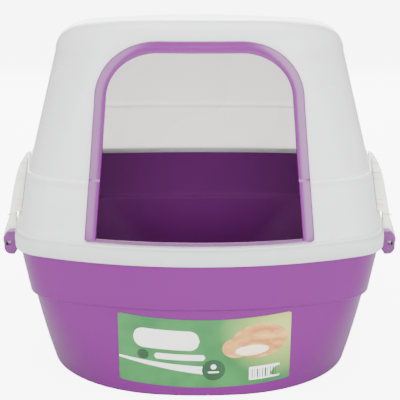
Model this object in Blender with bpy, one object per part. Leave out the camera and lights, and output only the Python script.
"""Hooded cat litter box: a stepped pan, a lift-off hood with a framed doorway and two side handles.

Metres, +Z up, the front faces -Y. The origin is on the floor, under the middle of the box.
"""

import math

import bmesh
import bpy

# Plan of the hood's lip, the widest outline. Every other outline is drawn inside it.
HALF_WIDTH = 0.212
HALF_DEPTH = 0.266
FRONT_RADIUS = 0.387
REAR_RADIUS = 1.200
SIDE_RADIUS = 1.330
CORNER_RADIUS = 0.052
BASE_CORNER_RADIUS = 0.147
ROOF_CORNER_RADIUS = 0.095

# Heights above the floor.
PAN_STEP_Z = 0.1045
LIP_BOTTOM_Z = 0.1567
LIP_TOP_Z = 0.1761
HOOD_STEP_Z = 0.2385
WALL_TOP_Z = 0.3535
ROOF_Z = 0.3885

# How far each outline stands inside the lip.
PAN_TOP_INSET = 0.0057
PAN_STEP_INSET = 0.0154
PAN_BASE_INSET = 0.0370
HOOD_FOOT_INSET = 0.0062
HOOD_STEP_INSET = 0.0156
WALL_TOP_INSET = 0.0495
FRONT_TOP_INSET = 0.0340

# Steps, walls and edges.
PAN_LEDGE = 0.0045
HOOD_LEDGE = 0.0026
WALL = 0.0022
BASE_EDGE = 0.0030
ROOF_EDGE_SIDE = 0.0430
ROOF_EDGE_FRONT = 0.0220
ROOF_CROWN = 0.0045
ROOF_TILT = 0.080
RIM_BEAD = 0.0026
GAP = 0.0003
RUNNING_GAP = 0.0006

# Doorway and its frame.
DOOR_HALF_WIDTH = 0.1185
DOOR_LEAN = 0.0816
DOOR_SPRING_Z = 0.3210
DOOR_TOP_Z = 0.3810
DOOR_FLAT = 0.0410
DOOR_SILL_RISE = 0.0010
FLANGE = 0.0120
SILL_FLANGE = 0.0030
FLANGE_THICKNESS = 0.0017
SLEEVE_THICKNESS = 0.0018
SLEEVE_REACH = 0.0050

# Handles and their pivots.
HANDLE_HALF_LENGTH = 0.1205
LEG_WIDTH = 0.0120
LEG_DEPTH_LOW = 0.0125
LEG_DEPTH_TOP = 0.0080
HOOK_RISE = 0.0060
BAR_LOW_Z = 0.1920
BAR_HEIGHT = 0.0240
BAR_DEPTH = 0.0080
PIVOT_OUT = 0.0084
PIVOT_DROP = 0.0118
FOOT_RADIUS = 0.0092
PEG_RADIUS = 0.0022
PEG_LENGTH = 0.0100
LUG_LENGTH = 0.0150
LUG_HALF_HEIGHT = 0.0132
LUG_REACH = 0.0053
LUG_CORNER = 0.0080
LUG_TOE = 0.0040

# Label on the front of the pan.
LABEL_WIDTH = 0.1830
LABEL_SHIFT = 0.0055
LABEL_TOP_Z = 0.0925
LABEL_BOTTOM_Z = 0.0115
LABEL_CORNER_RISE = 0.0062
LABEL_THICKNESS = 0.0003

# Normal directions, in degrees, at which every outline has a point: front, corner, side, corner, rear.
FRONT_TURNS = [-90, -84.6, -79.2, -73.8, -68.4, -63, -54, -45, -36, -27, -18, -9, -6, -3, 0]
REAR_TURNS = [3, 6, 9, 18, 27, 36, 45, 54, 63, 72, 81, 84, 87, 90]

PURPLE = (0.30, 0.085, 0.36, 1.0)
WHITE = (0.80, 0.79, 0.76, 1.0)
GREEN = (0.06, 0.28, 0.09, 1.0)


def material(name, colour, roughness):
    """A plain moulded finish."""
    made = bpy.data.materials.new(name)
    made.use_nodes = True
    shader = made.node_tree.nodes["Principled BSDF"]
    shader.inputs["Base Color"].default_value = colour
    shader.inputs["Roughness"].default_value = roughness
    shader.inputs["Metallic"].default_value = 0.0
    return made


def solid(name, points, faces, finish=None):
    """An object from points and faces, with its faces turned outwards."""
    mesh = bpy.data.meshes.new(name)
    mesh.from_pydata(points, [], faces)
    shape = bmesh.new()
    shape.from_mesh(mesh)
    bmesh.ops.remove_doubles(shape, verts=shape.verts, dist=0.000001)
    bmesh.ops.recalc_face_normals(shape, faces=shape.faces)
    shape.to_mesh(mesh)
    shape.free()
    mesh.shade_smooth()
    mesh.set_sharp_from_angle(angle=math.radians(35))
    made = bpy.data.objects.new(name, mesh)
    bpy.context.scene.collection.objects.link(made)
    if finish:
        mesh.materials.append(finish)
    return made


def helper(made):
    """Marks an object as a tool for a Boolean, which is not part of the box."""
    made.hide_render = True
    made.display_type = "WIRE"
    return made


def combine(target, other, operation):
    """Adds a Boolean that keeps, cuts or joins the other object."""
    step = target.modifiers.new(other.name, "BOOLEAN")
    step.operation = operation
    step.solver = "EXACT"
    step.object = other
    return target


# Outlines.
#
# An outline is bowed on all four sides: a front arc, a rear arc, two side arcs and four corner
# arcs that run into them smoothly. A point on it is found from the direction of its normal.


class Outline:
    def __init__(self, side_inset, front_inset, rear_inset, corner):
        self.half_width = HALF_WIDTH - side_inset
        self.front = HALF_DEPTH - front_inset
        self.rear = HALF_DEPTH - rear_inset
        self.front_radius = FRONT_RADIUS - front_inset
        self.rear_radius = REAR_RADIUS - rear_inset
        self.side_radius = SIDE_RADIUS - side_inset
        self.corner = corner

    def arcs(self, rear):
        """The end arc's centre, the corner's centre, and the turns at which the arcs meet."""
        radius = self.rear_radius if rear else self.front_radius
        end = radius - (self.rear if rear else self.front)
        side = self.half_width - self.side_radius
        reach_end = radius - self.corner
        reach_side = self.side_radius - self.corner
        apart = math.hypot(side, end)
        along = (reach_end**2 - reach_side**2 + apart**2) / (2 * apart)
        across = math.sqrt(max(reach_end**2 - along**2, 0.0))
        foot = (side * along / apart, end - end * along / apart)
        corner = (foot[0] + across * end / apart, foot[1] + across * side / apart)
        end_turn = math.atan2(corner[1] - end, corner[0])
        side_turn = math.atan2(corner[1], corner[0] - side)
        return radius, end, side, corner, end_turn, side_turn

    def point(self, turn):
        """The point whose outward normal is at this angle, in degrees from +X."""
        rear = turn > 0
        radius, end, side, corner, end_turn, side_turn = self.arcs(rear)
        angle = -abs(math.radians(turn))
        if angle < end_turn:
            x = radius * math.cos(angle)
            y = end + radius * math.sin(angle)
        elif angle > side_turn:
            x = side + self.side_radius * math.cos(angle)
            y = self.side_radius * math.sin(angle)
        else:
            x = corner[0] + self.corner * math.cos(angle)
            y = corner[1] + self.corner * math.sin(angle)
        return (x, -y if rear else y)

    def ring(self):
        """The whole outline, anticlockwise from the middle of the front."""
        right = [self.point(turn) for turn in FRONT_TURNS + REAR_TURNS]
        left = [(-x, y) for x, y in reversed(right[1:-1])]
        return right + left

    def front_y(self, x):
        """How far forward the outline's front is at this distance from the middle."""
        radius, end, _, corner, end_turn, _ = self.arcs(False)
        x = abs(x)
        if x <= radius * math.cos(end_turn):
            return end - math.sqrt(radius**2 - x**2)
        return corner[1] - math.sqrt(max(self.corner**2 - (x - corner[0]) ** 2, 0.0))

    def side_x(self, y):
        """The half width of the outline at this distance from the middle, along its side arc."""
        return self.half_width - self.side_radius + math.sqrt(self.side_radius**2 - y**2)


def even(inset, corner=CORNER_RADIUS):
    """An outline the same distance inside the lip all round."""
    return Outline(inset, inset, inset, corner)


def between(low, high, share):
    return low + (high - low) * share


def wall_outline(z, extra=0.0):
    """The hood's upper wall at a height, before the roof's tilt, or a surface inside it."""
    share = (z - HOOD_STEP_Z) / (WALL_TOP_Z - HOOD_STEP_Z)
    foot = HOOD_STEP_INSET + HOOD_LEDGE + extra
    side = between(foot, WALL_TOP_INSET + extra, share)
    front = between(foot, FRONT_TOP_INSET + extra, share)
    return Outline(side, front, side, between(CORNER_RADIUS, ROOF_CORNER_RADIUS, share))


def edge_outline(lift, extra=0.0):
    """The rounded edge between wall and roof. lift goes from 0 at the wall to 1 at the roof."""
    turn = 1 - math.sqrt(max(1 - lift**2, 0.0))
    side = WALL_TOP_INSET + extra + (ROOF_EDGE_SIDE - extra) * turn
    front = FRONT_TOP_INSET + extra + (ROOF_EDGE_FRONT - extra) * turn
    return Outline(side, front, side, ROOF_CORNER_RADIUS - ROOF_EDGE_FRONT * turn)


def tier_outline(z, extra=0.0):
    """The hood's lower wall at a height."""
    share = (z - LIP_TOP_Z) / (HOOD_STEP_Z - LIP_TOP_Z)
    return even(between(HOOD_FOOT_INSET, HOOD_STEP_INSET, share) + extra)


def pan_outline(z, extra=0.0):
    """The pan's lower wall at a height, from its broad round foot to its step."""
    share = (z - BASE_EDGE) / (PAN_STEP_Z - BASE_EDGE)
    inset = between(PAN_BASE_INSET, PAN_STEP_INSET + PAN_LEDGE, share) + extra
    return even(inset, between(BASE_CORNER_RADIUS, CORNER_RADIUS, share))


def collar_outline(z, extra=0.0):
    """The pan's upper wall at a height, from its step to its rim."""
    share = (z - PAN_STEP_Z) / (LIP_BOTTOM_Z - PAN_STEP_Z)
    return even(between(PAN_STEP_INSET, PAN_TOP_INSET, share) + extra)


def tilted(x, y, z):
    """The roof falls towards the rear: a point of the upper wall or roof, after that tilt."""
    share = (z - HOOD_STEP_Z) / (ROOF_Z - HOOD_STEP_Z)
    return (x, y, z - ROOF_TILT * y * min(max(share, 0.0), 1.0))


def hood_front_y(x, z):
    """How far forward the hood's outer surface is at a place in the front view."""
    if z < HOOD_STEP_Z + 0.0008:
        return tier_outline(min(z, HOOD_STEP_Z)).front_y(x)
    height = z
    for _ in range(20):
        if height < WALL_TOP_Z:
            y = wall_outline(height).front_y(x)
        else:
            lift = min((height - WALL_TOP_Z) / (ROOF_Z - ROOF_CROWN - WALL_TOP_Z), 0.98)
            y = edge_outline(lift).front_y(x)
        height += (z - tilted(x, y, height)[2]) * 0.9
    return y


# Shells.


def stack(name, rings, finish):
    """A solid from rings, each a list of points, that closes with a cap at both ends."""
    count = len(rings[0])
    points = [point for ring in rings for point in ring]
    faces = [tuple(range(count))]
    for level in range(len(rings) - 1):
        for step in range(count):
            after = (step + 1) % count
            low = level * count
            high = low + count
            faces.append((low + step, low + after, high + after, high + step))
    faces.append(tuple(range((len(rings) - 1) * count, len(rings) * count)))
    return solid(name, points, faces, finish)


def level_ring(outline, z):
    return [(x, y, z) for x, y in outline.ring()]


def pan(finish):
    """The pan, from its underside up the outside, over the rim and down to its floor."""
    rim = LIP_TOP_Z - WALL - GAP
    bead = LIP_BOTTOM_Z + 0.0075
    edge = 0.0008
    rings = [
        level_ring(pan_outline(BASE_EDGE, BASE_EDGE), 0.0),
        level_ring(pan_outline(BASE_EDGE, 0.3 * BASE_EDGE), 0.3 * BASE_EDGE),
        level_ring(pan_outline(BASE_EDGE), BASE_EDGE),
        level_ring(pan_outline(PAN_STEP_Z - edge), PAN_STEP_Z - edge),
        level_ring(pan_outline(PAN_STEP_Z, edge), PAN_STEP_Z),
        level_ring(collar_outline(PAN_STEP_Z, edge), PAN_STEP_Z + edge / 2),
        level_ring(collar_outline(PAN_STEP_Z + 2 * edge), PAN_STEP_Z + 2 * edge),
        level_ring(collar_outline(LIP_BOTTOM_Z), LIP_BOTTOM_Z),
        level_ring(collar_outline(bead - edge), bead - edge),
        level_ring(even(RIM_BEAD), bead),
        level_ring(even(RIM_BEAD), rim - edge),
        level_ring(even(RIM_BEAD + edge), rim),
        level_ring(even(PAN_TOP_INSET - edge), rim),
        level_ring(even(PAN_TOP_INSET), rim - edge),
        level_ring(collar_outline(LIP_BOTTOM_Z, WALL), LIP_BOTTOM_Z),
        level_ring(collar_outline(PAN_STEP_Z + WALL, WALL), PAN_STEP_Z + WALL),
        level_ring(pan_outline(PAN_STEP_Z, WALL), PAN_STEP_Z),
        level_ring(pan_outline(BASE_EDGE + WALL, WALL), BASE_EDGE + WALL),
        level_ring(pan_outline(BASE_EDGE, WALL + BASE_EDGE), WALL),
    ]
    return stack("pan", rings, finish)


def roof_rings(extra):
    """The rounded edge and the crowned roof, from the wall upwards to the middle."""
    rings = []
    top = ROOF_Z - ROOF_CROWN
    for lift in (0.0, 0.35, 0.65, 0.87, 1.0):
        z = between(WALL_TOP_Z, top, lift) - extra * lift
        rings.append([tilted(x, y, z) for x, y in edge_outline(lift, extra).ring()])
    edge = edge_outline(1.0, extra).ring()
    middle = (edge_outline(1.0).rear - edge_outline(1.0).front) / 2
    for share in (0.80, 0.45, 0.15):
        z = top + ROOF_CROWN * (1 - share**2) - extra
        ring = [(x * share, middle + (y - middle) * share) for x, y in edge]
        rings.append([tilted(x, y, z) for x, y in ring])
    return rings


def hood_shell(finish):
    """The hood: roof, upper wall, step, lower wall, lip, and back up the inside."""
    edge = 0.0016
    step = HOOD_STEP_Z
    outer = list(reversed(roof_rings(0.0)))
    above = step + edge
    outer.append([tilted(x, y, above) for x, y in wall_outline(above).ring()])
    outer += [
        level_ring(even(HOOD_STEP_INSET + HOOD_LEDGE - edge / 2), step + edge / 8),
        level_ring(even(HOOD_STEP_INSET + edge / 4), step - edge / 8),
        level_ring(tier_outline(step - edge), step - edge),
        level_ring(tier_outline(LIP_TOP_Z + edge), LIP_TOP_Z + edge),
        level_ring(even(HOOD_FOOT_INSET - edge), LIP_TOP_Z),
        level_ring(even(0.0022), LIP_TOP_Z - 0.0012),
        level_ring(even(0.0006), LIP_TOP_Z - 0.0030),
        level_ring(even(0.0), LIP_TOP_Z - 0.0060),
        level_ring(even(0.0), LIP_BOTTOM_Z),
    ]
    lip_inside = RIM_BEAD - RUNNING_GAP
    skirt_outside = PAN_TOP_INSET + 3 * GAP
    skirt_inside = HOOD_FOOT_INSET + WALL
    skirt_bottom = LIP_TOP_Z - 0.0081
    inner = [
        level_ring(even(lip_inside), LIP_BOTTOM_Z),
        level_ring(even(lip_inside), LIP_TOP_Z - WALL),
        level_ring(even(skirt_outside), LIP_TOP_Z - WALL),
        level_ring(even(skirt_outside), skirt_bottom),
        level_ring(even(skirt_inside), skirt_bottom),
        level_ring(tier_outline(LIP_TOP_Z, WALL), LIP_TOP_Z),
        level_ring(tier_outline(step - WALL, WALL), step - WALL),
        level_ring(even(HOOD_STEP_INSET + HOOD_LEDGE + WALL), step - edge / 2),
    ]
    return stack("hood", outer + inner + roof_rings(WALL), finish)


# Doorway.


def door_outline(grow):
    """The doorway's arch in the front view, grown outwards: up the right, over and down the left."""
    low = LIP_TOP_Z + DOOR_SILL_RISE
    side = [low + (DOOR_SPRING_Z - low) * share for share in (0.0, 0.25)]
    side += [HOOD_STEP_Z - 0.0014, HOOD_STEP_Z + 0.0007, HOOD_STEP_Z + 0.0028]
    side += [between(HOOD_STEP_Z, DOOR_SPRING_Z, share) for share in (0.33, 0.67, 1.0)]
    right = []
    for z in side:
        reach = DOOR_HALF_WIDTH - FLANGE - DOOR_LEAN * (z - low) + grow
        right.append((reach, z))
    wide = right[-1][0] - DOOR_FLAT
    tall = DOOR_TOP_Z - FLANGE - DOOR_SPRING_Z + grow
    for step in range(1, 9):
        angle = math.radians(10 * step)
        right.append((DOOR_FLAT + wide * math.cos(angle), DOOR_SPRING_Z + tall * math.sin(angle)))
    right += [(DOOR_FLAT * share, DOOR_SPRING_Z + tall) for share in (1.0, 0.75, 0.5, 0.25)]
    left = [(-x, z) for x, z in reversed(right)]
    return right + [(0.0, DOOR_SPRING_Z + tall)] + left


def sill_outline(inset, height):
    """The doorway's lower edge from left to right, a little above the lip."""
    reach = DOOR_HALF_WIDTH - FLANGE + inset
    return [(reach * share, height) for share in [n / 8 for n in range(-7, 8)]]


def door_cutter():
    """The prism that opens the hood's front for the frame's sleeve."""
    grow = SLEEVE_THICKNESS + GAP
    low = LIP_TOP_Z + DOOR_SILL_RISE
    outline = [(x, z) for x, z in door_outline(grow)]
    points = [(x, -HALF_DEPTH - 0.02, z) for x, z in outline]
    points += [(x, -HALF_DEPTH + 0.16, z) for x, z in outline]
    count = len(outline)
    faces = [tuple(range(count)), tuple(range(count, 2 * count))]
    for step in range(count):
        after = (step + 1) % count
        faces.append((step, after, count + after, count + step))
    made = solid("door_cutter", points, faces)
    assert low > LIP_TOP_Z
    return helper(made)


def door_frame(finish):
    """The door trim: a flange on the hood's face, and a sleeve that lines the cut edge."""
    low = LIP_TOP_Z + DOOR_SILL_RISE
    lift = SLEEVE_THICKNESS + GAP
    inner = [(x, max(z, low + lift)) for x, z in door_outline(0.0)]
    mid = [(x, max(z, low + GAP)) for x, z in door_outline(SLEEVE_THICKNESS)]
    outer = [(x, max(z, low + GAP)) for x, z in door_outline(FLANGE)]
    inner += sill_outline(0.0, low + lift)
    mid += sill_outline(SLEEVE_THICKNESS, low + GAP)
    outer += sill_outline(FLANGE, low + GAP)
    sections = []
    for (xi, zi), (xm, zm), (xo, zo) in zip(inner, mid, outer):
        surface_in = hood_front_y(xm, zm)
        surface_out = hood_front_y(xo, zo)
        front_in = surface_in - GAP - FLANGE_THICKNESS
        front_out = surface_out - GAP - FLANGE_THICKNESS
        back = surface_in + WALL + SLEEVE_REACH
        sections.append(
            [
                (xi, front_in, zi),
                (xo, front_out, zo if zo > low + lift else low + GAP + SLEEVE_THICKNESS),
                (xo, surface_out - GAP, zo),
                (xm, surface_in - GAP, zm),
                (xm, back, zm),
                (xi, back, zi),
            ]
        )
    count = len(sections[0])
    points = [point for section in sections for point in section]
    faces = []
    for index in range(len(sections)):
        following = (index + 1) % len(sections)
        for step in range(count):
            after = (step + 1) % count
            here = index * count
            there = following * count
            faces.append((here + step, here + after, there + after, there + step))
    return solid("door_frame", points, faces, finish)


# Handles, and the lugs that they turn in.


LIP_AT_LUG = even(0.0).side_x(HANDLE_HALF_LENGTH)
PIVOT_X = LIP_AT_LUG + PIVOT_OUT
PIVOT_Z = LIP_BOTTOM_Z - PIVOT_DROP


def prism(name, outline, low_y, high_y, finish=None):
    """An outline in the front view, made solid between two distances from the front."""
    points = [(x, low_y, z) for x, z in outline] + [(x, high_y, z) for x, z in outline]
    count = len(outline)
    faces = [tuple(range(count)), tuple(range(count, 2 * count))]
    for step in range(count):
        after = (step + 1) % count
        faces.append((step, after, count + after, count + step))
    return solid(name, points, faces, finish)


def arc(x, z, radius, start, end, steps):
    """Points along an arc in the front view, from one angle in degrees to another."""
    turns = [math.radians(between(start, end, step / steps)) for step in range(steps + 1)]
    return [(x + radius * math.cos(turn), z + radius * math.sin(turn)) for turn in turns]


def leg_outline():
    """One leg of a right-hand handle: a round foot, a leg against the hood, a hook on its step."""
    back = HANDLE_HALF_LENGTH - LEG_WIDTH
    foot_z = LIP_TOP_Z + 0.0030
    top_z = HOOD_STEP_Z - 0.0020
    lip = even(0.0).side_x(back) + RUNNING_GAP
    inner_low = tier_outline(foot_z).side_x(back) + RUNNING_GAP
    inner_top = tier_outline(top_z).side_x(back) + RUNNING_GAP
    tip = even(HOOD_STEP_INSET + HOOD_LEDGE).side_x(back) + 0.0008
    hook_z = HOOD_STEP_Z + 2 * GAP + 0.0002
    outline = arc(PIVOT_X, PIVOT_Z, FOOT_RADIUS, -150, 30, 9)
    outline.append((PIVOT_X + 0.62 * FOOT_RADIUS, PIVOT_Z + 1.42 * FOOT_RADIUS))
    outline.append((between(inner_low, lip, 0.5) + LEG_DEPTH_LOW - 0.0015, foot_z - 0.0080))
    for share in (0.15, 0.45, 0.75):
        depth = between(LEG_DEPTH_LOW, LEG_DEPTH_TOP, share**2)
        outline.append((between(inner_low, inner_top, share) + depth, between(foot_z, top_z, share)))
    outline.append((inner_top + 0.62 * LEG_DEPTH_TOP, top_z + 0.0020))
    outline.append((inner_top + 0.20 * LEG_DEPTH_TOP, hook_z + 0.65 * HOOK_RISE))
    outline.append((tip, hook_z + HOOK_RISE))
    outline.append((tip, hook_z))
    outline.append((inner_top, hook_z))
    outline.append((inner_top, top_z))
    outline.append((inner_low, foot_z))
    outline.append((lip, LIP_TOP_Z + 0.0005))
    outline.append((lip, LIP_BOTTOM_Z - 0.0010))
    return outline


def bar_solid(name):
    """The grip between the two legs, bowed with the hood's side."""
    half = HANDLE_HALF_LENGTH - LEG_WIDTH / 2
    heights = (BAR_LOW_Z, BAR_LOW_Z + BAR_HEIGHT)
    rings = []
    steps = 12
    for step in range(steps + 1):
        y = between(-half, half, step / steps)
        low = tier_outline(heights[0]).side_x(y) + RUNNING_GAP
        high = tier_outline(heights[1]).side_x(y) + RUNNING_GAP
        soft = 0.0020
        rings.append(
            [
                (low, y, heights[0]),
                (low + BAR_DEPTH - soft, y, heights[0]),
                (low + BAR_DEPTH, y, heights[0] + soft),
                (high + BAR_DEPTH, y, heights[1] - soft),
                (high + BAR_DEPTH - soft, y, heights[1]),
                (high, y, heights[1]),
            ]
        )
    return stack(name, rings, None)


def peg(name, y):
    """A round peg on a handle's leg, along the pivot's axis."""
    outline = arc(PIVOT_X, PIVOT_Z, PEG_RADIUS, 0, 330, 11)
    return prism(name, outline, y - PEG_LENGTH / 2 - 0.001, y + PEG_LENGTH / 2)


def mirrored(made):
    """Turns a right-hand piece into a left-hand one, in its mesh."""
    for vertex in made.data.vertices:
        vertex.co.x = -vertex.co.x
    made.data.flip_normals()
    return made


def handle(name, left, finish):
    """A handle: two legs, the grip that joins them, and a peg on each foot."""
    back = HANDLE_HALF_LENGTH - LEG_WIDTH
    body = prism(name, leg_outline(), -HANDLE_HALF_LENGTH, -back, finish)
    peg_y = HANDLE_HALF_LENGTH + PEG_LENGTH / 2
    others = [
        prism(name + "_rear_leg", leg_outline(), back, HANDLE_HALF_LENGTH),
        bar_solid(name + "_grip"),
        peg(name + "_front_peg", -peg_y + 0.001),
        peg(name + "_rear_peg", peg_y),
    ]
    if left:
        mirrored(body)
    for other in others:
        if left:
            mirrored(other)
        combine(body, helper(other), "UNION")
    return body


def ring_prism(name, outline, low_z, high_z):
    """An outline seen from above, made solid between two heights."""
    rings = [level_ring(outline, low_z), level_ring(outline, high_z)]
    return helper(stack(name, rings, None))


def pivot_lug(name, left, rear, cutters, finish):
    """A lug on the lip's edge: it grips the lip, and a handle's peg turns in its square hole."""
    near = HANDLE_HALF_LENGTH + GAP
    low_y, high_y = (near, near + LUG_LENGTH) if rear else (-near - LUG_LENGTH, -near)
    reach = PIVOT_X + LUG_REACH
    tall = LUG_HALF_HEIGHT
    outline = arc(reach - LUG_CORNER, PIVOT_Z - tall + LUG_CORNER, LUG_CORNER, -90, 0, 5)
    outline += arc(reach - LUG_CORNER, PIVOT_Z + tall - LUG_CORNER, LUG_CORNER, 0, 90, 5)
    outline.append((LIP_AT_LUG - LUG_TOE, PIVOT_Z + tall))
    outline.append((LIP_AT_LUG - LUG_TOE, PIVOT_Z - 0.3 * tall))
    outline.append((LIP_AT_LUG + LUG_TOE / 2, PIVOT_Z - tall))
    made = prism(name, outline, low_y, high_y, finish)
    half = PEG_RADIUS + GAP
    hole = [
        (PIVOT_X - half, PIVOT_Z - half),
        (PIVOT_X + half, PIVOT_Z - half),
        (PIVOT_X + half, PIVOT_Z + half),
        (PIVOT_X - half, PIVOT_Z + half),
    ]
    drill = helper(prism(name + "_hole", hole, low_y - 0.01, high_y + 0.01))
    if left:
        mirrored(made)
        mirrored(drill)
    combine(made, drill, "DIFFERENCE")
    for cutter in cutters:
        combine(made, cutter, "DIFFERENCE")
    return made


# Label.


def label(finish):
    """A thin printed sheet that follows the front of the pan."""
    columns = 16
    rows = 4
    points = []
    for depth in (GAP, GAP + LABEL_THICKNESS):
        for row in range(rows + 1):
            share = row / rows
            for column in range(columns + 1):
                across = 2 * column / columns - 1
                z = between(LABEL_BOTTOM_Z, LABEL_TOP_Z, share) + LABEL_CORNER_RISE * across**2
                x = LABEL_SHIFT + LABEL_WIDTH * across / 2
                points.append((x, pan_outline(z).front_y(x) - depth, z))
    across = columns + 1
    layer = across * (rows + 1)
    faces = []
    for row in range(rows):
        for column in range(columns):
            start = row * across + column
            quad = (start, start + 1, start + across + 1, start + across)
            faces.append(quad)
            faces.append(tuple(layer + index for index in quad))
    border = list(range(across))
    border += [row * across + columns for row in range(1, rows + 1)]
    border += [rows * across + column for column in range(columns - 1, -1, -1)]
    border += [row * across for row in range(rows - 1, 0, -1)]
    for index, start in enumerate(border):
        after = border[(index + 1) % len(border)]
        faces.append((start, after, layer + after, layer + start))
    return solid("label", points, faces, finish)


def build():
    for old in list(bpy.data.objects):
        bpy.data.objects.remove(old)
    purple = material("purple_plastic", PURPLE, 0.22)
    white = material("white_plastic", WHITE, 0.25)
    paper = material("label_paper", GREEN, 0.40)
    pan(purple)
    combine(hood_shell(white), door_cutter(), "DIFFERENCE")
    door_frame(purple)
    handle("handle_left", True, white)
    handle("handle_right", False, white)
    lip_space = ring_prism("lip_space", even(-GAP), LIP_BOTTOM_Z - GAP, LIP_TOP_Z + 0.02)
    rim_space = ring_prism("rim_space", even(RIM_BEAD - 3 * RUNNING_GAP), 0.02, LIP_TOP_Z + 0.02)
    for left in (True, False):
        for rear in (True, False):
            name = "pivot_lug_" + ("rear_" if rear else "front_") + ("left" if left else "right")
            pivot_lug(name, left, rear, (lip_space, rim_space), purple)
    label(paper)


build()
